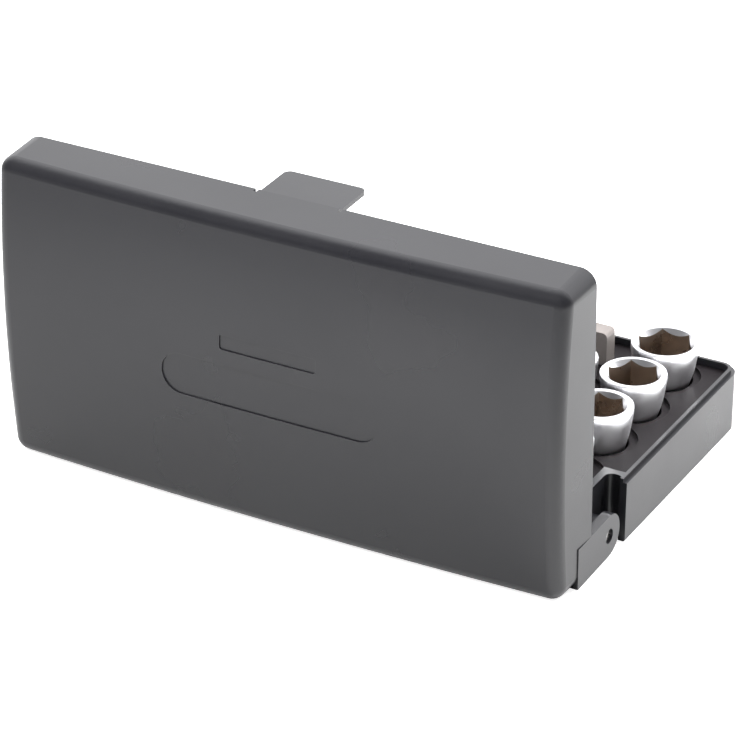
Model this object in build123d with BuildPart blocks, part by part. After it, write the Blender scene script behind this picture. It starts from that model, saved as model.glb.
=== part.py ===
from build123d import *
from math import cos, radians, sin, sqrt
import os

os.makedirs("parts", exist_ok=True)

# Hinged plastic socket case with its lid swung open: the lid stands upright on its hinge side and
# the tray lies behind it. X runs along the hinge, +Y from the lid to the latch side, Z up.
# The origin is on the ground under the middle of the tray.

# ---- driving dimensions, millimetres ----
case_width = 182.5  # along the hinge
case_depth = 97.0  # hinge side to latch side
corner_radius = 5.0  # case corners seen from above
hinge_setback = 7.0  # hinge axis from the hinge side of the closed case
hinge_height = 7.35  # hinge axis above the ground
rim_offset = 12.0  # hinge axis to the plane of the lid's rim
open_lean = 1.5  # degrees that the open lid leans past upright, away from the tray
rim_gap = 0.3  # between the lid's rim and the tray wall when closed
running_gap = 0.3  # between pieces that move past each other

lid_depth = 22.4  # rim to the crown of the face
lid_wall = 1.9
lid_draft = 2.0  # degrees, walls closing in towards the face
lid_edge_radius = 4.2  # rounded edge round the face
rim_joint_depth = 1.4  # inside of the lid's rim, cut back round the tray's lip
crown_radius_long = 1880.0  # crown of the face along the case
crown_radius_short = 370.0  # crown of the face across the case
crown_level = 43.0  # crown's middle from the hinge side
label_depth = 0.45  # bare recesses in the face
label_length, label_height, label_level = 70.0, 13.0, 45.1
plate_length, plate_height, plate_level = 31.0, 4.6, 58.8
label_offset = 0.9  # labels' middle along the case

ear_radius = 6.6
ear_thickness = 3.0
boss_radius = 5.0  # round bearing boss inside each ear
ear_pad_depth = 8.0  # ear's root along the inside of the lid wall
pin_diameter = 4.4
pin_clearance = 0.05
pin_length = 9.6
pin_boss = 3.6  # boss round the pin inside the tray, from the channel side
pin_recess = 0.8  # pin end below the ear's face

tongue_width = 26.0
tongue_offset = -0.4  # tongue's middle along the case
tongue_reach = 15.4  # past the rim
tongue_thickness = 1.3
tongue_step = 0.7  # tongue's face below the lid wall's face
tongue_corner = 2.2
tongue_root = 6.0  # tongue's root inside the lid
notch_width, notch_depth = 1.0, 1.6  # relief slots beside the tongue

tray_wall = 2.2
ledge_width = 1.2  # outer part of the wall's top, under the lid's rim
lip_rise = 1.3  # inner part of the wall above the ledge, inside the lid's rim
tray_floor = 2.0
tray_edge = 0.4  # bottom edge chamfer
tray_front_radius = 3.1  # top edge on the hinge side, inside the lid rim's sweep
channel_width = 5.4  # open channel beside each hinge ear
channel_depth = 14.0  # hinge axis to the channel's back
channel_corner = 2.4
side_wall_start = 10.5  # hinge axis to the front end of the side wall
catch_margin = 1.2  # either side of the tongue
catch_depth = 2.9  # recess for the tongue in the latch wall
catch_wall = 1.8
catch_gap = 0.6  # below the tongue's tip when closed

deck_fit = 0.2  # deck insert inside the tray wall
deck_drop = 0.85  # tray wall's ledge down to the deck's face
deck_thickness = 2.6
dish_radius = 11.2
dish_depth = 1.1
well_clearance = 0.5
cup_wall = 1.5
cup_floor = 2.2
peg_clearance = 0.2
peg_height = 5.0

column_pitch = 21.5
row_pitch = 22.1
first_column = 72.3  # right column from the middle of the case
first_row = 22.0  # front row from the lid's rim plane

socket_length = 25.0
socket_end_radius = 7.0  # drive end of the large sockets
socket_drive_size = 6.45  # square hole
socket_drive_depth = 9.0
socket_hex_depth = 10.0
socket_band = 2.0  # straight part below the mouth
socket_waist = 16.5  # height where the slow taper below the mouth ends
waist_share = 0.9  # radius there, as a share of the mouth's
socket_neck = 9.0  # height where the straight drive end stops
mouth_chamfer = 0.9
mouth_edge = 0.4  # outside edge round the mouth
drive_end_edge = 0.5
through_hole_radius = 1.6  # between the square hole and the hex
hex_clearance = 0.1

ratchet_end = 54.6  # butt of the handle from the middle of the case
ratchet_length = 118.0  # butt to the head's centre
ratchet_plane = 88.2  # handle's middle plane from the lid's rim plane
ratchet_level = 17.1  # height of its long axis
head_radius = 12.0
head_thickness = 9.5
neck_half = 5.0  # half height of the handle at the head
neck_length = 26.0
grip_length = 42.0
butt_corner = 1.5
pawl_share = 0.62  # small end of the pear-shaped head
grip_half = 11.5  # half height at the butt
handle_thickness = 5.6
head_front_wall = 1.5
gear_radius = 7.4
gear_gap = 0.4  # round the gear and the pawl inside the head
gear_teeth = 30
tooth_depth = 0.6
cover_radius = 10.4
cover_thickness = 1.2
lever_reach = 8.0
lever_thickness = 2.2
lever_shaft_radius = 1.8
pawl_offset = 9.6  # head centre to the pawl's pivot
pawl_radius = 3.9
pawl_swing_gap = 1.0  # pawl's hollow face from the gear, so that it can rock
drive_neck_radius = 4.8
drive_size = 6.3
drive_length = 7.5
ball_radius = 1.25
ball_rise = 0.6  # ball's crown above the face of the square
screw_radius = 0.7
screw_head_radius = 1.0
screw_head_height = 0.6
screw_length = 4.0
shaft_gap = 0.05

long_bar_length, short_bar_length = 100.0, 50.0
bar_radius = 4.0
bar_head_radius = 6.0
bar_head_length = 14.0
bar_square_length = 8.0
tool_gap = 0.6  # round a tool in its slot
slot_corner = 2.0
seat_gap = 0.2  # under a socket or tool in its seat
long_bar_place = 6.0  # drive end past the second column
short_bar_place = (-2.0, 2.0)  # middle from the last column and the second row
cradle_depth = 2.4  # below the deck's face

# ---- places worked out from the dimensions ----
hinge_y = hinge_setback - case_depth / 2
rim_y = hinge_y - rim_offset
front_y = hinge_y - hinge_setback
lid_level = hinge_height - hinge_setback
back_y = front_y + case_depth
half_width = case_width / 2
wall_top = hinge_height + rim_offset - rim_gap
deck_top = wall_top - deck_drop
block_end = half_width - tray_wall - channel_width
first_row_y = rim_y + first_row
column_x = [first_column - column_pitch * index for index in range(7)]
row_y = [first_row_y + row_pitch * index for index in range(4)]
socket_base = tray_floor + cup_floor + seat_gap
ratchet_y = rim_y + ratchet_plane
head_x = ratchet_end - ratchet_length
tongue_top = lid_level + case_depth - tongue_step
catch_bottom = hinge_height + rim_offset - tongue_reach - catch_gap
catch_half = tongue_width / 2 + catch_margin
side_wall_front = hinge_y + side_wall_start

# name, hex size across flats, outside diameter, column, row from the front
socket_list = [
    ("socket_15_mm", 15.0, 20.4, 0, 3),
    ("socket_14_mm", 14.0, 20.0, 0, 2),
    ("socket_13_mm", 13.0, 19.4, 0, 1),
    ("socket_11_mm", 11.0, 15.6, 0, 0),
    ("socket_12_mm", 12.0, 18.4, 1, 2),
    ("socket_10_mm", 10.0, 15.4, 2, 2),
    ("socket_9_mm", 9.0, 14.2, 3, 2),
    ("socket_8_mm", 8.0, 13.2, 4, 2),
    ("socket_7_mm", 7.0, 12.4, 5, 2),
    ("socket_6_mm", 6.0, 12.0, 1, 1),
    ("socket_5_5_mm", 5.5, 12.0, 2, 1),
    ("socket_5_mm", 5.0, 12.0, 3, 1),
    ("socket_4_mm", 4.0, 12.0, 4, 1),
]


def waist_radius(outside):
    """Radius of a socket's body where its slow upper taper ends."""
    return max(min(socket_end_radius, outside / 2), waist_share * outside / 2)


def radius_at_deck(outside):
    """Radius of a socket's body where it stands in the deck's face."""
    end_radius = min(socket_end_radius, outside / 2)
    share = (deck_top - socket_base - socket_neck) / (socket_waist - socket_neck)
    return end_radius + share * (waist_radius(outside) - end_radius)


def keep(piece, name):
    """Label a finished piece and write it to its own file."""
    piece.part.label = name
    export_step(piece.part, "parts/" + name + ".step")


def lid_form(inset, face_inset, edge_radius, corner):
    """Lid bowl standing on its hinge side, its face crowned both ways, walls and face moved inwards."""
    axis_y = rim_y - lid_depth + crown_radius_long
    face_radius = crown_radius_long - face_inset
    half_turn = 4.0
    toward_face = Vector(-sin(radians(half_turn)), -cos(radians(half_turn)), 0)
    across = toward_face.cross(Vector(0, 0, 1))
    profile_plane = Plane(origin=(0, axis_y, 0), x_dir=toward_face, z_dir=across)
    reach = case_depth / 2 + 20
    middle = lid_level + crown_level
    sag = crown_radius_short - sqrt(crown_radius_short**2 - reach**2)
    with BuildPart() as form:
        with BuildSketch(profile_plane):
            with BuildLine():
                crown = ThreePointArc(
                    (face_radius - sag, middle - reach),
                    (face_radius, middle),
                    (face_radius - sag, middle + reach),
                )
                Polyline(
                    crown @ 1,
                    (face_radius - lid_depth - 9, middle + reach),
                    (face_radius - lid_depth - 9, middle - reach),
                    crown @ 0,
                )
            make_face()
        revolve(axis=Axis((0, axis_y, 0), (0, 0, 1)), revolution_arc=2 * half_turn)
        with BuildSketch(Plane.XZ.offset(-rim_y)):
            with Locations((0, lid_level + case_depth / 2)):
                RectangleRounded(case_width - 2 * inset, case_depth - 2 * inset, corner)
        extrude(amount=lid_depth + 5, taper=lid_draft, mode=Mode.INTERSECT)
        if edge_radius > 0:
            face = form.faces().sort_by(Axis.Y)[0]
            fillet(face.edges(), edge_radius)
    return form.part


def label_plug(length, height, level, end_radius):
    """Recess shape of even depth under the crowned face."""
    with BuildPart() as plug:
        with BuildSketch(Plane.XZ.offset(lid_depth - rim_y + 5)):
            with Locations((label_offset, lid_level + level)):
                RectangleRounded(length, height, end_radius)
        extrude(amount=-lid_depth / 2)
        add(lid_form(0.0, label_depth, 0.0, corner_radius), mode=Mode.SUBTRACT)
    return plug.part


# ---- lid: one moulding with a crowned face, two hinge ears and the latch tongue ----
lid_outside = lid_form(0.0, 0.0, lid_edge_radius, corner_radius)
lid_inside = lid_form(lid_wall, lid_wall, lid_edge_radius - lid_wall, corner_radius - lid_wall)
big_label = label_plug(label_length, label_height, label_level, label_height / 2 - 0.1)
small_label = label_plug(plate_length, plate_height, plate_level, 0.8)

with BuildPart() as lid_upright:
    add(lid_outside)
    add(lid_inside, mode=Mode.SUBTRACT)
    add(big_label, mode=Mode.SUBTRACT)
    add(small_label, mode=Mode.SUBTRACT)
    for side in (-1, 1):
        outer = side * half_width
        with BuildSketch(Plane.YZ.offset(outer)):
            with Locations((hinge_y, hinge_height)):
                Circle(ear_radius)
            with Locations(((hinge_y + rim_y - ear_pad_depth) / 2, hinge_height)):
                Rectangle(rim_offset + ear_pad_depth, 2 * ear_radius)
        extrude(amount=-side * ear_thickness)
        with BuildSketch(Plane.YZ.offset(outer - side * ear_thickness)):
            with Locations((hinge_y, hinge_height)):
                Circle(boss_radius)
        extrude(amount=-side * (half_width - ear_thickness - block_end - running_gap))
        with BuildSketch(Plane.YZ.offset(outer)):
            with Locations((hinge_y, hinge_height)):
                Circle(pin_diameter / 2 + pin_clearance)
        extrude(amount=-side * (tray_wall + channel_width), mode=Mode.SUBTRACT)
    with BuildSketch(Plane.XY.offset(tongue_top - tongue_thickness)):
        with Locations((tongue_offset, rim_y + (tongue_reach - tongue_root) / 2)):
            Rectangle(tongue_width, tongue_reach + tongue_root)
    extrude(amount=tongue_thickness)
    tongue_edges = lid_upright.edges().filter_by(Axis.Z).filter_by_position(
        Axis.Y, rim_y + tongue_reach - 0.1, rim_y + tongue_reach + 0.1
    )
    fillet(tongue_edges, tongue_corner)
    for side in (-1, 1):
        with BuildSketch(Plane.XY.offset(lid_level + case_depth)):
            with Locations((tongue_offset + side * (tongue_width + notch_width) / 2, rim_y)):
                Rectangle(notch_width, 2 * notch_depth)
        extrude(amount=-2 * lid_wall, mode=Mode.SUBTRACT)

    joint_inset = ledge_width - running_gap
    joint_start = hinge_height + side_wall_start - running_gap
    joint_end = lid_level + case_depth - joint_inset
    with BuildSketch(Plane.XZ.offset(-rim_y)):
        with Locations((0, lid_level + case_depth / 2)):
            RectangleRounded(
                case_width - 2 * joint_inset, case_depth - 2 * joint_inset, corner_radius - joint_inset
            )
        with Locations((0, joint_start - case_depth / 2)):
            Rectangle(2 * case_width, case_depth, mode=Mode.SUBTRACT)
        with Locations((tongue_offset, joint_end)):
            Rectangle(2 * catch_half, 4 * tongue_thickness, mode=Mode.SUBTRACT)
    extrude(amount=rim_joint_depth, mode=Mode.SUBTRACT)

hinge_axis = Axis((0, hinge_y, hinge_height), (1, 0, 0))
with BuildPart() as lid_shell:
    add(lid_upright.part.rotate(hinge_axis, open_lean))
keep(lid_shell, "lid_shell")

# ---- hinge pins, pressed into the tray, with the lid's ears turning on them ----
for side, name in ((-1, "hinge_pin_left"), (1, "hinge_pin_right")):
    with BuildPart() as hinge_pin:
        with BuildSketch(Plane.YZ.offset(side * (half_width - pin_recess))):
            with Locations((hinge_y, hinge_height)):
                Circle(pin_diameter / 2)
        extrude(amount=-side * pin_length)
        chamfer(hinge_pin.edges(), 0.3)
    keep(hinge_pin, name)

# ---- tray: outer moulding with wall ledge, hinge channels and the recess for the tongue ----
cavity_back = back_y - tray_wall
cavity_front = front_y + tray_wall
channel_back = hinge_y + channel_depth
pocket_side = block_end - tray_wall
pocket_back = channel_back + tray_wall
catch_inside = back_y - catch_depth - catch_wall


def inner_outline(gap):
    """Plan of the space inside the tray, moved in by a gap."""
    with BuildSketch() as outline:
        with BuildLine():
            Polyline(
                (-pocket_side + gap, cavity_front + gap),
                (pocket_side - gap, cavity_front + gap),
                (pocket_side - gap, pocket_back + gap),
                (half_width - tray_wall - gap, pocket_back + gap),
                (half_width - tray_wall - gap, cavity_back - gap),
                (tongue_offset + catch_half + catch_wall + gap, cavity_back - gap),
                (tongue_offset + catch_half + catch_wall + gap, catch_inside - gap),
                (tongue_offset - catch_half - catch_wall - gap, catch_inside - gap),
                (tongue_offset - catch_half - catch_wall - gap, cavity_back - gap),
                (-half_width + tray_wall + gap, cavity_back - gap),
                (-half_width + tray_wall + gap, pocket_back + gap),
                (-pocket_side + gap, pocket_back + gap),
                close=True,
            )
        make_face()
        far_corners = outline.vertices().group_by(Axis.Y)[-1].sort_by(Axis.X)
        fillet([far_corners[0], far_corners[-1]], corner_radius - tray_wall)
    return outline.sketch


with BuildPart() as tray_shell:
    with BuildSketch():
        with Locations((0, (front_y + back_y) / 2)):
            Rectangle(case_width, case_depth)
    extrude(amount=wall_top)
    with BuildSketch(Plane.XY.offset(wall_top)):
        RectangleRounded(
            case_width - 2 * ledge_width, case_depth - 2 * ledge_width, corner_radius - ledge_width
        )
        with Locations((0, side_wall_front - case_depth / 2)):
            Rectangle(case_width, case_depth, mode=Mode.SUBTRACT)
        with Locations((0, pocket_back - case_depth / 2)):
            Rectangle(case_width - 2 * tray_wall, case_depth, mode=Mode.SUBTRACT)
        with Locations((tongue_offset, back_y)):
            Rectangle(2 * (catch_half + running_gap), 2 * tray_wall, mode=Mode.SUBTRACT)
    tray_lip = extrude(amount=lip_rise, mode=Mode.PRIVATE)
    back_corners = tray_shell.edges().filter_by(Axis.Z).group_by(Axis.Y)[-1]
    fillet(back_corners, corner_radius)
    front_top_edge = tray_shell.edges().filter_by(Axis.X).group_by(Axis.Z)[-1].sort_by(Axis.Y)[0]
    fillet(front_top_edge, tray_front_radius)
    chamfer(tray_shell.faces().sort_by(Axis.Z)[0].edges(), tray_edge)
    add(tray_lip)
    with BuildSketch(Plane.XY.offset(tray_floor)):
        add(inner_outline(0.0))
    extrude(amount=wall_top, mode=Mode.SUBTRACT)
    for side in (-1, 1):
        with BuildSketch(Plane.YZ.offset(side * block_end)):
            with Locations((hinge_y, hinge_height)):
                Circle(boss_radius)
        extrude(amount=-side * pin_boss)
        with BuildSketch(Plane.XY.offset(-1)):
            with Locations((side * (block_end + half_width) / 2, (front_y + hinge_y + side_wall_start) / 2)):
                Rectangle(half_width - block_end, side_wall_start + hinge_setback)
        extrude(amount=2 * wall_top, mode=Mode.SUBTRACT)
        with BuildSketch(Plane.XY.offset(-1)):
            with Locations((side * (block_end + channel_width / 2), (front_y + channel_back) / 2)):
                channel = Rectangle(channel_width, channel_depth + hinge_setback)
            fillet(channel.vertices().group_by(Axis.Y)[-1], channel_corner)
        extrude(amount=2 * wall_top, mode=Mode.SUBTRACT)
        with BuildSketch(Plane.YZ.offset(side * (half_width - pin_recess))):
            with Locations((hinge_y, hinge_height)):
                Circle(pin_diameter / 2 + pin_clearance / 2)
        extrude(amount=-side * (pin_length + pin_clearance), mode=Mode.SUBTRACT)
    with BuildSketch(Plane.XY.offset(catch_bottom)):
        with Locations((tongue_offset, back_y - catch_depth / 2)):
            Rectangle(2 * catch_half, catch_depth)
    extrude(amount=wall_top, mode=Mode.SUBTRACT)
keep(tray_shell, "tray_shell")

# ---- deck: insert with a finger dish and a cup for each socket, the ratchet's slot and bar cradles ----
wells = []
for name, flats, outside, column, row in socket_list:
    wells.append((column_x[column], row_y[row], radius_at_deck(outside) + well_clearance))
bar_y = row_y[0]
long_bar_end = column_x[1] + long_bar_place
short_bar_x = column_x[6] + short_bar_place[0]
short_bar_y = row_y[1] + short_bar_place[1]
slot_floor = tray_floor + cup_floor


def slot(width, depth, height, x, y, low):
    """Box-shaped finger or tool slot with rounded corners, open upwards."""
    with BuildPart() as cut:
        with BuildSketch(Plane.XY.offset(low)):
            with Locations((x, y)):
                RectangleRounded(width, depth, slot_corner)
        extrude(amount=height)
    return cut.part


handle_slot = slot(
    ratchet_length + 2 * tool_gap,
    handle_thickness + 2 * tool_gap,
    wall_top,
    (ratchet_end + head_x) / 2,
    ratchet_y,
    ratchet_level - grip_half - seat_gap,
)
head_back = ratchet_y + head_thickness / 2 + cover_thickness + lever_thickness + tool_gap
head_front = ratchet_y - head_thickness / 2 - drive_length - tool_gap
head_reach = pawl_offset + head_radius * pawl_share
head_slot_width = head_radius + head_reach + 2 * tool_gap
head_slot_x = head_x + (head_reach - head_radius) / 2
head_slot = slot(
    head_slot_width,
    head_back - head_front,
    wall_top,
    head_slot_x,
    (head_back + head_front) / 2,
    ratchet_level - head_radius - seat_gap,
)
cradle_floor = deck_top - cradle_depth
bar_level = cradle_floor + bar_head_radius + seat_gap
long_bar_slot = slot(
    long_bar_length + 2 * tool_gap,
    2 * (bar_head_radius + tool_gap),
    wall_top,
    long_bar_end - long_bar_length / 2,
    bar_y,
    cradle_floor,
)
short_bar_slot = slot(
    2 * (bar_head_radius + tool_gap),
    short_bar_length + 2 * tool_gap,
    wall_top,
    short_bar_x,
    short_bar_y,
    cradle_floor,
)

with BuildPart() as socket_deck:
    with BuildSketch(Plane.XY.offset(deck_top - deck_thickness)):
        add(inner_outline(deck_fit))
    extrude(amount=deck_thickness)
    for x, y, radius in wells:
        with BuildSketch(Plane.XY.offset(tray_floor)):
            with Locations((x, y)):
                Circle(radius + cup_wall)
        extrude(amount=deck_top - deck_thickness / 2 - tray_floor)
    with BuildSketch(Plane.XY.offset(tray_floor)):
        with Locations(((ratchet_end + head_x) / 2, ratchet_y)):
            Rectangle(
                ratchet_length + 2 * (tool_gap + cup_wall),
                handle_thickness + 2 * (tool_gap + cup_wall),
            )
        with Locations((head_slot_x, (head_back + head_front) / 2)):
            Rectangle(head_slot_width + 2 * cup_wall, head_back - head_front + 2 * cup_wall)
    extrude(amount=deck_top - deck_thickness / 2 - tray_floor)
    with BuildSketch(Plane.XY.offset(cradle_floor - cup_wall)):
        with Locations((long_bar_end - long_bar_length / 2, bar_y)):
            Rectangle(
                long_bar_length + 2 * (tool_gap + cup_wall),
                2 * (bar_head_radius + tool_gap + cup_wall),
            )
        with Locations((short_bar_x, short_bar_y)):
            Rectangle(
                2 * (bar_head_radius + tool_gap + cup_wall),
                short_bar_length + 2 * (tool_gap + cup_wall),
            )
    extrude(amount=deck_thickness)
    with BuildSketch(Plane.XY.offset(tray_floor)):
        add(inner_outline(deck_fit))
    extrude(amount=wall_top, mode=Mode.INTERSECT)
    for x, y, radius in wells:
        with BuildSketch(Plane.XY.offset(deck_top - dish_depth)):
            with Locations((x, y)):
                Circle(dish_radius)
        extrude(amount=2 * dish_depth, mode=Mode.SUBTRACT)
    for x, y, radius in wells:
        with BuildSketch(Plane.XY.offset(slot_floor)):
            with Locations((x, y)):
                Circle(radius)
                Rectangle(
                    socket_drive_size - 2 * peg_clearance,
                    socket_drive_size - 2 * peg_clearance,
                    mode=Mode.SUBTRACT,
                )
        extrude(amount=peg_height, mode=Mode.SUBTRACT)
        with BuildSketch(Plane.XY.offset(slot_floor + peg_height)):
            with Locations((x, y)):
                Circle(radius)
        extrude(amount=deck_top - slot_floor, mode=Mode.SUBTRACT)
    for side in (-1, 1):
        with BuildSketch(Plane.YZ.offset(side * block_end)):
            with Locations((hinge_y, hinge_height)):
                Circle(boss_radius + running_gap)
        extrude(amount=-side * (pin_boss + running_gap), mode=Mode.SUBTRACT)
    add(handle_slot, mode=Mode.SUBTRACT)
    add(head_slot, mode=Mode.SUBTRACT)
    add(long_bar_slot, mode=Mode.SUBTRACT)
    add(short_bar_slot, mode=Mode.SUBTRACT)
keep(socket_deck, "socket_deck")

# ---- sockets: square drive hole below, hex mouth up, turned body that tapers to the drive end ----
for name, flats, outside, column, row in socket_list:
    x = column_x[column]
    y = row_y[row]
    mouth_radius = outside / 2
    end_radius = min(socket_end_radius, mouth_radius)
    profile_plane = Plane(origin=(x, y, socket_base), x_dir=(1, 0, 0), z_dir=(0, -1, 0))
    with BuildPart() as socket:
        with BuildSketch(profile_plane):
            with BuildLine():
                Polyline(
                    (0, 0),
                    (end_radius - drive_end_edge, 0),
                    (end_radius, drive_end_edge),
                    (end_radius, socket_neck),
                    (waist_radius(outside), socket_waist),
                    (mouth_radius, socket_length - socket_band),
                    (mouth_radius, socket_length - mouth_edge),
                    (mouth_radius - mouth_edge, socket_length),
                    (0, socket_length),
                    close=True,
                )
            make_face()
        revolve(axis=Axis((x, y, 0), (0, 0, 1)))
        with BuildSketch(Plane.XY.offset(socket_base)):
            with Locations((x, y)):
                Rectangle(socket_drive_size, socket_drive_size)
        extrude(amount=socket_drive_depth, mode=Mode.SUBTRACT)
        with BuildSketch(Plane.XY.offset(socket_base + socket_length - socket_hex_depth)):
            with Locations((x, y)):
                RegularPolygon(flats / 2 + hex_clearance, 6, major_radius=False)
        extrude(amount=socket_hex_depth, mode=Mode.SUBTRACT)
        lead_in = flats / sqrt(3) + 0.3
        with BuildSketch(Plane.XY.offset(socket_base)):
            with Locations((x, y)):
                Circle(through_hole_radius)
        extrude(amount=socket_length, mode=Mode.SUBTRACT)
        with Locations((x, y, socket_base + socket_length)):
            Cone(
                flats / 2 - 0.2,
                lead_in,
                mouth_chamfer * 2,
                align=(Align.CENTER, Align.CENTER, Align.MAX),
                mode=Mode.SUBTRACT,
            )
    keep(socket, name)

# ---- ratchet, standing on its edge in the rear slot, drive square towards the lid ----
handle_plane = Plane.XZ.offset(-(ratchet_y + handle_thickness / 2))
head_plane = Plane.XZ.offset(-(ratchet_y + head_thickness / 2))
cavity_plane = Plane.XZ.offset(-(ratchet_y + head_thickness / 2 - cover_thickness))
cavity_depth = head_thickness - cover_thickness - head_front_wall
pawl_x = head_x + pawl_offset
screw_ring = (gear_radius + gear_gap + cover_radius) / 2


def head_outline(large, small):
    """Pear-shaped outline round the gear and the pawl."""
    with BuildSketch(Plane.XZ) as outline:
        with Locations((head_x, ratchet_level)):
            Circle(large)
        with Locations((pawl_x, ratchet_level)):
            Circle(small)
        make_hull()
    return outline.sketch_local


with BuildPart() as ratchet_handle:
    with BuildSketch(handle_plane):
        with BuildLine():
            Polyline(
                (head_x, ratchet_level - neck_half),
                (head_x + neck_length, ratchet_level - neck_half),
                (ratchet_end - grip_length, ratchet_level - grip_half),
                (ratchet_end, ratchet_level - grip_half),
                (ratchet_end, ratchet_level + grip_half),
                (ratchet_end - grip_length, ratchet_level + grip_half),
                (head_x + neck_length, ratchet_level + neck_half),
                (head_x, ratchet_level + neck_half),
                close=True,
            )
        make_face()
    extrude(amount=handle_thickness)
    butt_edges = ratchet_handle.edges().filter_by(Axis.Y).group_by(Axis.X)[-1].sort_by(Axis.Z)
    fillet(butt_edges[0], grip_half)
    upper_butt_edge = ratchet_handle.edges().filter_by(Axis.Y).group_by(Axis.X)[-1].sort_by(Axis.Z)[-1]
    fillet(upper_butt_edge, butt_corner)
    with BuildSketch(head_plane):
        add(head_outline(head_radius, head_radius * pawl_share))
    extrude(amount=head_thickness)
    with BuildSketch(head_plane):
        add(head_outline(cover_radius, cover_radius * pawl_share))
    extrude(amount=cover_thickness, mode=Mode.SUBTRACT)
    with BuildSketch(cavity_plane):
        with Locations((head_x, ratchet_level)):
            Circle(gear_radius + gear_gap)
        with Locations((pawl_x, ratchet_level)):
            Circle(pawl_radius + gear_gap)
    extrude(amount=cavity_depth, mode=Mode.SUBTRACT)
    with BuildSketch(cavity_plane):
        with Locations((head_x, ratchet_level)):
            Circle(drive_neck_radius + shaft_gap)
            with PolarLocations(screw_ring, 2, start_angle=110, angular_range=140, endpoint=True):
                Circle(screw_radius + shaft_gap)
    extrude(amount=head_thickness, mode=Mode.SUBTRACT)
keep(ratchet_handle, "ratchet_handle")

with BuildPart() as ratchet_drive_gear:
    with BuildSketch(Plane.XZ.offset(-(ratchet_y + head_thickness / 2 - cover_thickness - gear_gap))):
        with Locations((head_x, ratchet_level)):
            Circle(gear_radius)
            with PolarLocations(gear_radius, gear_teeth):
                Rectangle(2 * tooth_depth, tooth_depth, rotation=45, mode=Mode.SUBTRACT)
    extrude(amount=cavity_depth - 2 * gear_gap)
    with BuildSketch(Plane.XZ.offset(-ratchet_y)):
        with Locations((head_x, ratchet_level)):
            Circle(drive_neck_radius)
    extrude(amount=head_thickness / 2 + running_gap)
    with BuildSketch(Plane.XZ.offset(-ratchet_y)):
        with Locations((head_x, ratchet_level)):
            Rectangle(drive_size, drive_size)
    extrude(amount=head_thickness / 2 + drive_length)
    chamfer(ratchet_drive_gear.faces().sort_by(Axis.Y)[0].edges(), 0.5)
    with BuildSketch(Plane.XY.offset(ratchet_level + drive_size / 2)):
        with Locations((head_x, ratchet_y - head_thickness / 2 - drive_length / 2)):
            Circle(ball_radius + shaft_gap)
    extrude(amount=-2 * ball_radius, mode=Mode.SUBTRACT)
keep(ratchet_drive_gear, "ratchet_drive_gear")

with BuildPart() as ratchet_ball:
    with Locations((head_x, ratchet_y - (head_thickness + drive_length) / 2, ratchet_level + drive_size / 2)):
        with Locations((0, 0, ball_rise - ball_radius)):
            Sphere(ball_radius)
keep(ratchet_ball, "ratchet_detent_ball")

with BuildPart() as ratchet_cover:
    with BuildSketch(head_plane):
        add(head_outline(cover_radius - shaft_gap, cover_radius * pawl_share - shaft_gap))
        with Locations((pawl_x, ratchet_level)):
            Circle(lever_shaft_radius + shaft_gap, mode=Mode.SUBTRACT)
        with Locations((head_x, ratchet_level)):
            with PolarLocations(screw_ring, 2, start_angle=110, angular_range=140, endpoint=True):
                Circle(screw_radius + shaft_gap, mode=Mode.SUBTRACT)
    extrude(amount=cover_thickness)
    with BuildSketch(head_plane):
        with Locations((head_x, ratchet_level)):
            with PolarLocations(screw_ring, 2, start_angle=110, angular_range=140, endpoint=True):
                Circle(screw_head_radius + shaft_gap)
    extrude(amount=screw_head_height, mode=Mode.SUBTRACT)
keep(ratchet_cover, "ratchet_cover_plate")

with BuildPart() as ratchet_screws:
    with BuildSketch(head_plane):
        with Locations((head_x, ratchet_level)):
            with PolarLocations(screw_ring, 2, start_angle=110, angular_range=140, endpoint=True):
                Circle(screw_head_radius)
    extrude(amount=screw_head_height)
    with BuildSketch(head_plane):
        with Locations((head_x, ratchet_level)):
            with PolarLocations(screw_ring, 2, start_angle=110, angular_range=140, endpoint=True):
                Circle(screw_radius)
    extrude(amount=screw_length)
    with BuildSketch(head_plane):
        with Locations((head_x, ratchet_level)):
            with PolarLocations(screw_ring, 2, start_angle=110, angular_range=140, endpoint=True):
                Rectangle(2 * screw_radius, screw_radius / 2)
    extrude(amount=screw_head_height / 2, mode=Mode.SUBTRACT)
keep(ratchet_screws, "ratchet_cover_screws")

with BuildPart() as ratchet_lever:
    with BuildSketch(Plane.XZ.offset(-(ratchet_y + head_thickness / 2 + shaft_gap))):
        with Locations((pawl_x, ratchet_level)):
            Circle(lever_shaft_radius + 2)
        with Locations((pawl_x - lever_reach, ratchet_level)):
            Circle(lever_shaft_radius)
        make_hull()
    extrude(amount=-lever_thickness)
    fillet(ratchet_lever.faces().sort_by(Axis.Y)[-1].edges(), 0.6)
    with BuildSketch(Plane.XZ.offset(-(ratchet_y + head_thickness / 2 + shaft_gap))):
        with Locations((pawl_x, ratchet_level)):
            Circle(lever_shaft_radius)
    extrude(amount=cover_thickness + cavity_depth - gear_gap)
keep(ratchet_lever, "ratchet_reversing_lever")

with BuildPart() as ratchet_pawl:
    with BuildSketch(Plane.XZ.offset(-(ratchet_y + head_thickness / 2 - cover_thickness - gear_gap))):
        with Locations((pawl_x, ratchet_level)):
            Circle(pawl_radius)
            Circle(lever_shaft_radius + shaft_gap / 2, mode=Mode.SUBTRACT)
        with Locations((head_x, ratchet_level)):
            Circle(gear_radius + pawl_swing_gap, mode=Mode.SUBTRACT)
    extrude(amount=cavity_depth - 2 * gear_gap)
keep(ratchet_pawl, "ratchet_pawl")

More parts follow.
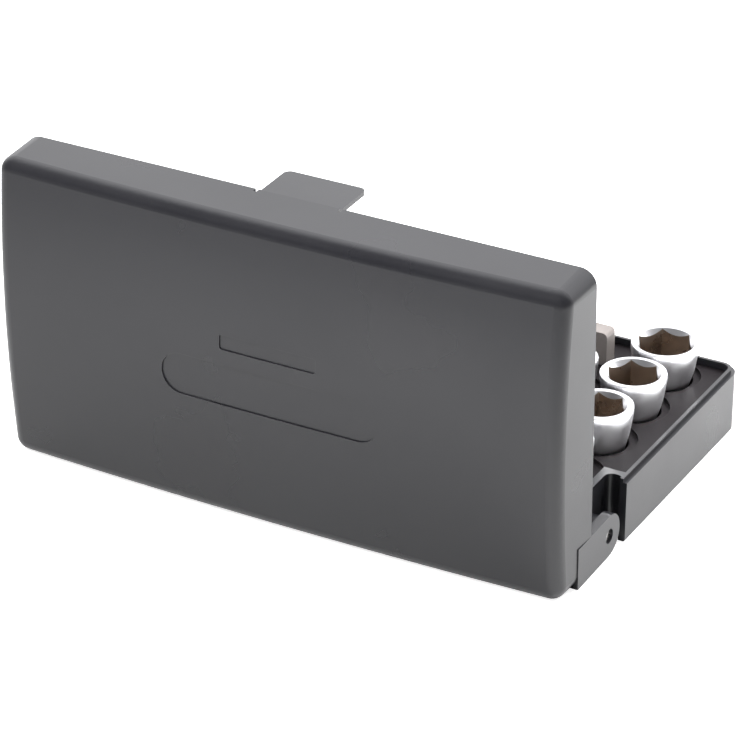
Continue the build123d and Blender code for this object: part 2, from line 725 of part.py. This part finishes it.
# ---- extension bars: square hole in the head end, square with a detent ball at the other ----
short_bar_end = short_bar_y + short_bar_length / 2
bars = [
    ("extension_bar_long", long_bar_length, (long_bar_end, bar_y, bar_level), (-1, 0, 0)),
    ("extension_bar_short", short_bar_length, (short_bar_x, short_bar_end, bar_level), (0, -1, 0)),
]
for name, length, start, direction in bars:
    base = Plane(origin=start, x_dir=(0, 0, 1), z_dir=direction)
    square_start = length - bar_square_length
    with BuildPart() as bar:
        with BuildSketch(base):
            Circle(bar_head_radius)
        extrude(amount=bar_head_length)
        chamfer(bar.faces().sort_by(Axis(start, direction))[0].edges(), 0.6)
        with BuildSketch(base.offset(bar_head_length)):
            Circle(bar_head_radius)
        with BuildSketch(base.offset(bar_head_length + bar_head_radius - bar_radius)):
            Circle(bar_radius)
        loft()
        with BuildSketch(base.offset(bar_head_length)):
            Circle(bar_radius)
        extrude(amount=square_start - bar_head_length - 2)
        with BuildSketch(base.offset(square_start - 2)):
            Circle(drive_neck_radius)
        extrude(amount=2)
        with BuildSketch(base.offset(square_start - 2)):
            Rectangle(drive_size, drive_size)
        extrude(amount=bar_square_length + 2)
        with BuildSketch(base):
            Rectangle(socket_drive_size, socket_drive_size)
        extrude(amount=socket_drive_depth, mode=Mode.SUBTRACT)
        ball_plane = Plane(origin=base.offset(length - bar_square_length / 2).origin, z_dir=(0, 0, 1))
        with BuildSketch(ball_plane.offset(drive_size / 2)):
            Circle(ball_radius + shaft_gap)
        extrude(amount=-2 * ball_radius, mode=Mode.SUBTRACT)
    keep(bar, name)
    with BuildPart() as bar_ball:
        with Locations(ball_plane.offset(drive_size / 2 + ball_rise - ball_radius)):
            Sphere(ball_radius)
    keep(bar_ball, name + "_ball")
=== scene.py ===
import bmesh
import bpy
import math
from mathutils import Matrix, Vector


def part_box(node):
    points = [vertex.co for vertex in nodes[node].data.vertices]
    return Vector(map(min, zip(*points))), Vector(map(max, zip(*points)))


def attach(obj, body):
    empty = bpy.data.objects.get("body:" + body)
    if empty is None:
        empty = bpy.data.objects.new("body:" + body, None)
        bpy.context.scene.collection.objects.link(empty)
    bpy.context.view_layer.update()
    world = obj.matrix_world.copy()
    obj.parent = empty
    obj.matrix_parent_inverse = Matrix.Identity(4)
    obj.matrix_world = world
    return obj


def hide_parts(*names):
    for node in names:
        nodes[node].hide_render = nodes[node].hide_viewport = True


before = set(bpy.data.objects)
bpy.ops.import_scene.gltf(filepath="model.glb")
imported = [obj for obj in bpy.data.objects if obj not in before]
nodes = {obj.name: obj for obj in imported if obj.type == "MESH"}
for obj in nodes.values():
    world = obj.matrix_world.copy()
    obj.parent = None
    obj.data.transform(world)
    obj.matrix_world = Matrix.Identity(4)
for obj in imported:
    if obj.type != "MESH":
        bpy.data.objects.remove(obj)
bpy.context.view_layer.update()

# ---- moulded case: lid and tray ----
# Both halves are injection-moulded black plastic with a fine spark-eroded texture. A painted
# highlight makes their edges a little paler. The lid is one piece with its hinge ears and the
# latch tongue.

first_colour, second_colour, mixed_colour = 6, 7, 2  # a Mix node's colour sockets, by number


def effect_group(name, inputs, outputs):
    """Empty node group with named sockets, each given as (name, type, default)."""
    group = bpy.data.node_groups.new(name, "ShaderNodeTree")
    for socket_name, kind, value in inputs:
        socket = group.interface.new_socket(socket_name, in_out="INPUT", socket_type=kind)
        socket.default_value = value
    for socket_name, kind in outputs:
        group.interface.new_socket(socket_name, in_out="OUTPUT", socket_type=kind)
    return group, group.nodes.new("NodeGroupInput"), group.nodes.new("NodeGroupOutput")


def painted_edge_highlight_group():
    """Mask of the outer edges, broken up by noise, where a painted highlight lightens a piece."""
    group, given, result = effect_group(
        "painted edge highlight",
        [("Radius", "NodeSocketFloat", 0.0005), ("Patch Scale", "NodeSocketFloat", 60.0)],
        [("Mask", "NodeSocketFloat")],
    )
    make, link = group.nodes.new, group.links.new
    bevel = make("ShaderNodeBevel")
    bevel.samples = 6
    link(given.outputs["Radius"], bevel.inputs["Radius"])
    surface = make("ShaderNodeNewGeometry")
    facing = make("ShaderNodeVectorMath")
    facing.operation = "DOT_PRODUCT"
    link(bevel.outputs["Normal"], facing.inputs[0])
    link(surface.outputs["Normal"], facing.inputs[1])
    edge = make("ShaderNodeMapRange")
    edge.inputs["From Min"].default_value = 0.99
    edge.inputs["From Max"].default_value = 0.86
    link(facing.outputs["Value"], edge.inputs["Value"])
    place = make("ShaderNodeTexCoord")
    patches = make("ShaderNodeTexNoise")
    patches.inputs["Detail"].default_value = 5.0
    link(place.outputs["Object"], patches.inputs["Vector"])
    link(given.outputs["Patch Scale"], patches.inputs["Scale"])
    broken = make("ShaderNodeMapRange")
    broken.inputs["From Min"].default_value = 0.42
    broken.inputs["From Max"].default_value = 0.62
    link(patches.outputs["Fac"], broken.inputs["Value"])
    mask = make("ShaderNodeMath")
    mask.operation = "MULTIPLY"
    link(edge.outputs["Result"], mask.inputs[0])
    link(broken.outputs["Result"], mask.inputs[1])
    link(mask.outputs["Value"], result.inputs["Mask"])
    return group


def moulded_grain_group():
    """Spark-eroded mould texture: fine pits, slow changes of tone and sheen."""
    group, given, result = effect_group(
        "moulded grain",
        [
            ("Dark", "NodeSocketColor", (0.05, 0.05, 0.05, 1)),
            ("Light", "NodeSocketColor", (0.07, 0.07, 0.07, 1)),
            ("Grain Scale", "NodeSocketFloat", 2600.0),
            ("Smooth", "NodeSocketFloat", 0.38),
            ("Rough", "NodeSocketFloat", 0.5),
            ("Pit Depth", "NodeSocketFloat", 0.25),
        ],
        [
            ("Color", "NodeSocketColor"),
            ("Roughness", "NodeSocketFloat"),
            ("Height", "NodeSocketFloat"),
        ],
    )
    pit_share = 0.35  # how much of the tone follows the pits, the rest follows the slow cloud
    make, link = group.nodes.new, group.links.new
    place = make("ShaderNodeTexCoord")
    cloud = make("ShaderNodeTexNoise")
    cloud.inputs["Scale"].default_value = 22.0
    cloud.inputs["Detail"].default_value = 4.0
    link(place.outputs["Object"], cloud.inputs["Vector"])
    pits = make("ShaderNodeTexNoise")
    pits.inputs["Detail"].default_value = 3.0
    link(place.outputs["Object"], pits.inputs["Vector"])
    link(given.outputs["Grain Scale"], pits.inputs["Scale"])
    tone = make("ShaderNodeMath")
    tone.operation = "MULTIPLY_ADD"
    tone.inputs[1].default_value = pit_share
    link(pits.outputs["Fac"], tone.inputs[0])
    scaled = make("ShaderNodeMath")
    scaled.operation = "MULTIPLY"
    scaled.inputs[1].default_value = 1.0 - pit_share
    link(cloud.outputs["Fac"], scaled.inputs[0])
    link(scaled.outputs["Value"], tone.inputs[2])
    colour = make("ShaderNodeMix")
    colour.data_type = "RGBA"
    link(tone.outputs["Value"], colour.inputs["Factor"])
    link(given.outputs["Dark"], colour.inputs[first_colour])
    link(given.outputs["Light"], colour.inputs[second_colour])
    sheen = make("ShaderNodeMapRange")
    sheen.inputs["From Min"].default_value = 0.35
    sheen.inputs["From Max"].default_value = 0.65
    link(cloud.outputs["Fac"], sheen.inputs["Value"])
    link(given.outputs["Smooth"], sheen.inputs["To Min"])
    link(given.outputs["Rough"], sheen.inputs["To Max"])
    depth = make("ShaderNodeMath")
    depth.operation = "MULTIPLY"
    link(pits.outputs["Fac"], depth.inputs[0])
    link(given.outputs["Pit Depth"], depth.inputs[1])
    link(colour.outputs[mixed_colour], result.inputs["Color"])
    link(sheen.outputs["Result"], result.inputs["Roughness"])
    link(depth.outputs["Value"], result.inputs["Height"])
    return group


# node group that masks the edges for the painted highlight
painted_edge_highlight = painted_edge_highlight_group()
moulded_grain = moulded_grain_group()


def moulded_plastic(name, dark, light, edge_highlight_colour, smooth, rough, grain_scale, pit_depth, edge_highlight_share):
    """Moulded plastic with grain, slow tone changes and a painted highlight on its edges."""
    material = bpy.data.materials.new(name)
    material.use_nodes = True
    make, link = material.node_tree.nodes.new, material.node_tree.links.new
    shader = material.node_tree.nodes["Principled BSDF"]
    shader.inputs["IOR"].default_value = 1.52
    grain = make("ShaderNodeGroup")
    grain.node_tree = moulded_grain
    grain.inputs["Dark"].default_value = dark
    grain.inputs["Light"].default_value = light
    grain.inputs["Smooth"].default_value = smooth
    grain.inputs["Rough"].default_value = rough
    grain.inputs["Grain Scale"].default_value = grain_scale
    grain.inputs["Pit Depth"].default_value = pit_depth
    edge_highlight_node = make("ShaderNodeGroup")
    edge_highlight_node.node_tree = painted_edge_highlight
    share = make("ShaderNodeMath")
    share.operation = "MULTIPLY"
    share.inputs[1].default_value = edge_highlight_share
    link(edge_highlight_node.outputs["Mask"], share.inputs[0])
    # edges are mixed toward a paler colour where the mask is: a painted highlight
    highlighted_edges = make("ShaderNodeMix")
    highlighted_edges.data_type = "RGBA"
    highlighted_edges.inputs[second_colour].default_value = edge_highlight_colour
    link(share.outputs["Value"], highlighted_edges.inputs["Factor"])
    link(grain.outputs["Color"], highlighted_edges.inputs[first_colour])
    link(highlighted_edges.outputs[mixed_colour], shader.inputs["Base Color"])
    link(grain.outputs["Roughness"], shader.inputs["Roughness"])
    bump = make("ShaderNodeBump")
    bump.inputs["Distance"].default_value = 0.00002
    bump.inputs["Strength"].default_value = 0.6
    link(grain.outputs["Height"], bump.inputs["Height"])
    link(bump.outputs["Normal"], shader.inputs["Normal"])
    return material


case_plastic = moulded_plastic(
    "case plastic",
    dark=(0.007, 0.007, 0.009, 1),
    light=(0.013, 0.013, 0.015, 1),
    # paler colour of the painted edge highlight
    edge_highlight_colour=(0.06, 0.06, 0.063, 1),
    smooth=0.26,
    rough=0.34,
    grain_scale=2400.0,
    pit_depth=0.5,
    edge_highlight_share=0.3,
)


def finish_node(name, material):
    """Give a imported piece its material."""
    piece = nodes[name]
    piece.data.materials.clear()
    piece.data.materials.append(material)


finish_node("lid_shell", case_plastic)
finish_node("tray_shell", case_plastic)

# ---- socket deck ----
# A separate insert of a duller black plastic, dropped into the tray. It has a finger dish and a
# cup for each socket, a slot for the ratchet and a cradle for each extension bar.

deck_plastic = moulded_plastic(
    "deck plastic",
    dark=(0.006, 0.005, 0.006, 1),
    light=(0.012, 0.010, 0.011, 1),
    # paler colour of the painted edge highlight
    edge_highlight_colour=(0.05, 0.045, 0.045, 1),
    smooth=0.48,
    rough=0.62,
    grain_scale=1500.0,
    pit_depth=0.9,
    edge_highlight_share=0.3,
)
deck_shader = deck_plastic.node_tree.nodes["Principled BSDF"]
deck_shader.inputs["Specular IOR Level"].default_value = 0.10
finish_node("socket_deck", deck_plastic)

# ---- sockets ----
# Forged and turned steel, plated with a satin chrome. The hexagon is broached before plating, so
# the chrome is thin inside it and the darker steel shows brown-grey on its flats.

socket_sizes = {
    "socket_15_mm": (15.0, 20.4), "socket_14_mm": (14.0, 20.0), "socket_13_mm": (13.0, 19.4),
    "socket_12_mm": (12.0, 18.4), "socket_11_mm": (11.0, 15.6), "socket_10_mm": (10.0, 15.4),
    "socket_9_mm": (9.0, 14.2), "socket_8_mm": (8.0, 13.2), "socket_7_mm": (7.0, 12.4),
    "socket_6_mm": (6.0, 12.0), "socket_5_5_mm": (5.5, 12.0), "socket_5_mm": (5.0, 12.0),
    "socket_4_mm": (4.0, 12.0),
}
socket_length, hex_depth, square_depth = 25.0, 10.0, 9.0
square_half, drive_end_radius, through_hole_radius = 3.225, 7.0, 1.6
neck_start, waist_level, band_start = 9.0, 16.5, 23.0
waist_share = 0.9  # radius at the waist, as a share of the mouth's
drive_end_edge, drive_end_corner = 0.5, 0.15
mouth_bevel, mouth_edge = 0.6, 0.4
mouth_corner_in, mouth_corner_down = 0.12, 0.18
hex_clearance, lead_in_margin, lead_in_depth, lead_in_slack = 0.1, 0.3, 1.8, 0.2
first_bare_ring, last_bare_ring = 11, 14  # from the hexagon's flats to the top of the square
broached_index = 1  # place of the broached steel among a socket's materials
steps_round = 144
crease_angle = 0.42  # in radians, sharper edges are not smoothed
mm = 0.001


def plated_steel(name, colour, shade, smooth, rough, scratch_scale, scratch_depth):
    """Plated or ground steel: faint scratches, smudges that dull the shine, slow tone changes."""
    material = bpy.data.materials.new(name)
    material.use_nodes = True
    make, link = material.node_tree.nodes.new, material.node_tree.links.new
    shader = material.node_tree.nodes["Principled BSDF"]
    shader.inputs["Metallic"].default_value = 1.0
    place = make("ShaderNodeTexCoord")
    smudge = make("ShaderNodeTexNoise")
    smudge.inputs["Scale"].default_value = 140.0
    smudge.inputs["Detail"].default_value = 4.0
    link(place.outputs["Object"], smudge.inputs["Vector"])
    tone = make("ShaderNodeMix")
    tone.data_type = "RGBA"
    tone.inputs[first_colour].default_value = colour
    tone.inputs[second_colour].default_value = shade
    link(smudge.outputs["Fac"], tone.inputs["Factor"])
    link(tone.outputs[mixed_colour], shader.inputs["Base Color"])
    dull = make("ShaderNodeMapRange")
    dull.inputs["From Min"].default_value = 0.35
    dull.inputs["From Max"].default_value = 0.7
    dull.inputs["To Min"].default_value = smooth
    dull.inputs["To Max"].default_value = rough
    link(smudge.outputs["Fac"], dull.inputs["Value"])
    link(dull.outputs["Result"], shader.inputs["Roughness"])
    stretch = make("ShaderNodeMapping")
    stretch.inputs["Scale"].default_value = (1.0, 1.0, 0.08)
    link(place.outputs["Object"], stretch.inputs["Vector"])
    scratches = make("ShaderNodeTexNoise")
    scratches.inputs["Scale"].default_value = scratch_scale
    scratches.inputs["Detail"].default_value = 6.0
    link(stretch.outputs["Vector"], scratches.inputs["Vector"])
    bump = make("ShaderNodeBump")
    bump.inputs["Distance"].default_value = scratch_depth
    bump.inputs["Strength"].default_value = 0.25
    link(scratches.outputs["Fac"], bump.inputs["Height"])
    link(bump.outputs["Normal"], shader.inputs["Normal"])
    return material


chrome = plated_steel(
    "satin chrome",
    colour=(0.93, 0.93, 0.95, 1),
    shade=(0.86, 0.86, 0.88, 1),
    smooth=0.30,
    rough=0.36,
    scratch_scale=900.0,
    scratch_depth=0.000002,
)
broached_steel = plated_steel(
    "broached steel",
    colour=(0.60, 0.53, 0.47, 1),
    shade=(0.44, 0.385, 0.34, 1),
    smooth=0.26,
    rough=0.36,
    scratch_scale=1500.0,
    scratch_depth=0.00001,
)


def socket_rings(flats, outside, angle):
    """Radius and height, in millimetres, of each ring of a socket's wall at one angle.

    The rings go up the outside from the square, over the mouth, and down the hexagon to the square.
    """
    mouth = outside / 2
    drive_end = min(drive_end_radius, mouth)
    waist = max(drive_end, waist_share * mouth)
    lead_in = flats / math.sqrt(3) + lead_in_margin
    turn = (angle + math.pi / 6) % (math.pi / 3) - math.pi / 6
    flat = (flats / 2 + hex_clearance) / math.cos(math.pi / 6 - abs(turn))
    slope = lead_in_depth / (lead_in - flats / 2 + lead_in_slack)
    flat_top = socket_length - (lead_in - flat) * slope
    square = square_half / max(abs(math.cos(angle)), abs(math.sin(angle)))
    hex_floor = socket_length - hex_depth
    return [
        (square, 0.0),
        (drive_end - drive_end_edge, 0.0),
        (drive_end - drive_end_corner, drive_end_corner),
        (drive_end, drive_end_edge),
        (drive_end, neck_start),
        (waist, waist_level),
        (mouth, band_start),
        (mouth, socket_length - mouth_bevel),
        (mouth - mouth_corner_in, socket_length - mouth_corner_down),
        (mouth - mouth_edge, socket_length),
        (lead_in, socket_length),
        (flat, flat_top),
        (flat, hex_floor),
        (through_hole_radius, hex_floor),
        (through_hole_radius, square_depth),
        (square, square_depth),
    ]


steel_pieces = bpy.data.collections.new("steel pieces")
for name, (flats, outside) in socket_sizes.items():
    low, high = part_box(name)
    middle_x, middle_y, base = (low[0] + high[0]) / 2, (low[1] + high[1]) / 2, low[2]
    shape = bmesh.new()
    rings = []
    for step in range(steps_round):
        angle = 2 * math.pi * step / steps_round
        column = []
        for radius, height in socket_rings(flats, outside, angle):
            column.append(
                shape.verts.new(
                    (
                        middle_x + radius * mm * math.cos(angle),
                        middle_y + radius * mm * math.sin(angle),
                        base + height * mm,
                    )
                )
            )
        rings.append(column)
    ring_count = len(rings[0])
    for step in range(steps_round):
        here, there = rings[step], rings[(step + 1) % steps_round]
        for index in range(ring_count):
            after = (index + 1) % ring_count
            face = shape.faces.new((here[index], there[index], there[after], here[after]))
            face.smooth = True
            if first_bare_ring <= index <= last_bare_ring:
                face.material_index = broached_index
    bmesh.ops.recalc_face_normals(shape, faces=shape.faces)
    for edge in shape.edges:
        if len(edge.link_faces) == 2 and edge.calc_face_angle() > crease_angle:
            edge.smooth = False
    mesh = bpy.data.meshes.new(name + "_plated")
    shape.to_mesh(mesh)
    shape.free()
    mesh.materials.append(chrome)
    mesh.materials.append(broached_steel)
    piece = bpy.data.objects.new(name + "_plated", mesh)
    bpy.context.collection.objects.link(piece)
    steel_pieces.objects.link(piece)
    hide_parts(name)
    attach(piece, name)

# ---- ratchet, extension bars and hinge pins ----
# The bars are turned and chromed like the sockets. The ratchet's forged handle and its cover have
# a duller brown-grey satin finish. Gear, pawl, lever, balls, screws and pins are plain hardened
# steel.

satin_steel = plated_steel(
    "satin steel",
    colour=(0.30, 0.27, 0.255, 1),
    shade=(0.22, 0.20, 0.19, 1),
    smooth=0.42,
    rough=0.54,
    scratch_scale=1800.0,
    scratch_depth=0.00001,
)
satin_shader = satin_steel.node_tree.nodes["Principled BSDF"]
satin_shader.inputs["Metallic"].default_value = 0.6
plain_steel = plated_steel(
    "plain steel",
    colour=(0.50, 0.49, 0.48, 1),
    shade=(0.38, 0.37, 0.36, 1),
    smooth=0.22,
    rough=0.40,
    scratch_scale=1600.0,
    scratch_depth=0.00003,
)
for name in ("extension_bar_long", "extension_bar_short"):
    finish_node(name, chrome)
for name in ("ratchet_handle", "ratchet_cover_plate"):
    finish_node(name, satin_steel)
for name in (
    "extension_bar_long_ball", "extension_bar_short_ball", "hinge_pin_left", "hinge_pin_right",
    "ratchet_drive_gear", "ratchet_detent_ball", "ratchet_cover_screws", "ratchet_reversing_lever",
    "ratchet_pawl",
):
    finish_node(name, plain_steel)

# ---- studio ----
# A plain white floor in a pale room that is brighter behind the box. Soft lamps stand behind and in
# front, with two low ones for the sockets alone, and the camera looks down on the tray from the
# picture's angle.

floor_reach, floor_drop = 6, 0.0002
floor_corners = [
    (-floor_reach, -floor_reach, -floor_drop),
    (floor_reach, -floor_reach, -floor_drop),
    (floor_reach, floor_reach, -floor_drop),
    (-floor_reach, floor_reach, -floor_drop),
]
floor_mesh = bpy.data.meshes.new("floor")
floor_mesh.from_pydata(floor_corners, [], [(0, 1, 2, 3)])
floor = bpy.data.objects.new("floor", floor_mesh)
bpy.context.collection.objects.link(floor)
floor_material = bpy.data.materials.new("pale floor")
floor_material.use_nodes = True
floor_nodes, floor_links = floor_material.node_tree.nodes, floor_material.node_tree.links
floor_shader = floor_nodes["Principled BSDF"]
floor_shader.inputs["Roughness"].default_value = 0.8
floor_shader.inputs["Base Color"].default_value = (0.62, 0.62, 0.62, 1)
floor_shader.inputs["Specular IOR Level"].default_value = 0.1
floor_shader.inputs["Emission Color"].default_value = (1, 1, 1, 1)
floor_glow = 0.85  # seen by the camera only, so that the floor looks white and lights nothing
seen = floor_nodes.new("ShaderNodeLightPath")
glow = floor_nodes.new("ShaderNodeMath")
glow.operation = "MULTIPLY"
glow.inputs[1].default_value = floor_glow
floor_links.new(seen.outputs["Is Camera Ray"], glow.inputs[0])
floor_links.new(glow.outputs["Value"], floor_shader.inputs["Emission Strength"])
floor_mesh.materials.append(floor_material)

scene = bpy.context.scene
scene.view_settings.view_transform = "Standard"
world = bpy.data.worlds.new("studio")
scene.world = world
world.use_nodes = True
world_nodes, world_links = world.node_tree.nodes, world.node_tree.links
background = world_nodes["Background"]
background.inputs["Color"].default_value = (0.985, 0.985, 1.0, 1)
direction = world_nodes.new("ShaderNodeTexCoord")
toward_back = world_nodes.new("ShaderNodeVectorMath")
toward_back.operation = "DOT_PRODUCT"
toward_back.inputs[1].default_value = (-0.25, 0.88, 0.40)
world_links.new(direction.outputs["Generated"], toward_back.inputs[0])
room = world_nodes.new("ShaderNodeMapRange")
room.interpolation_type = "SMOOTHSTEP"
room.inputs["From Min"].default_value = 0.15
room.inputs["From Max"].default_value = 0.8
room.inputs["To Min"].default_value = 0.2
room.inputs["To Max"].default_value = 2.1
world_links.new(toward_back.outputs["Value"], room.inputs["Value"])
world_links.new(room.outputs["Result"], background.inputs["Strength"])


def soft_box(name, place, target, width, height, power):
    """Rectangular soft light aimed at a point."""
    light = bpy.data.lights.new(name, "AREA")
    light.shape = "RECTANGLE"
    light.size = width
    light.size_y = height
    light.energy = power
    lamp = bpy.data.objects.new(name, light)
    lamp.location = place
    lamp.rotation_euler = (Vector(target) - Vector(place)).to_track_quat("-Z", "Y").to_euler()
    lamp.visible_camera = False
    bpy.context.collection.objects.link(lamp)
    return lamp


back_light = soft_box(
    "light behind on the right",
    place=(0.22, 0.28, 0.34),
    target=(0.14, 0.12, 0),
    width=0.3,
    height=0.25,
    power=6.2,
)
back_light.visible_glossy = False
for name, place in (
    ("low light on the right", (0.78, -0.38, 0.12)),
    ("low light behind", (0.62, 0.60, 0.12)),
):
    socket_light = soft_box(
        name, place, target=(0.07, 0.01, 0.02), width=0.5, height=0.3, power=13.0
    )
    socket_light.light_linking.receiver_collection = steel_pieces
front_light = soft_box(
    "light in front",
    place=(-0.02, -0.20, 0.24),
    target=(-0.02, -0.14, 0),
    width=0.4,
    height=0.12,
    power=1.9,
)
front_light.visible_glossy = False

camera_data = bpy.data.cameras.new("camera")
camera_data.sensor_width = 36.0
camera_data.lens = 168.87
camera_data.clip_start = 0.01
camera = bpy.data.objects.new("camera", camera_data)
bpy.context.collection.objects.link(camera)
camera_place = Vector((0.43700, -0.80390, 0.50690))
sight = Vector((-0.42829, 0.77098, -0.47136))
right = Vector((0.87393, 0.48605, 0.00092))
up = Vector((-0.22982, 0.41157, 0.88193))
camera.matrix_world = Matrix(
    (
        (right.x, up.x, -sight.x, camera_place.x),
        (right.y, up.y, -sight.y, camera_place.y),
        (right.z, up.z, -sight.z, camera_place.z),
        (0, 0, 0, 1),
    )
)
scene.camera = camera
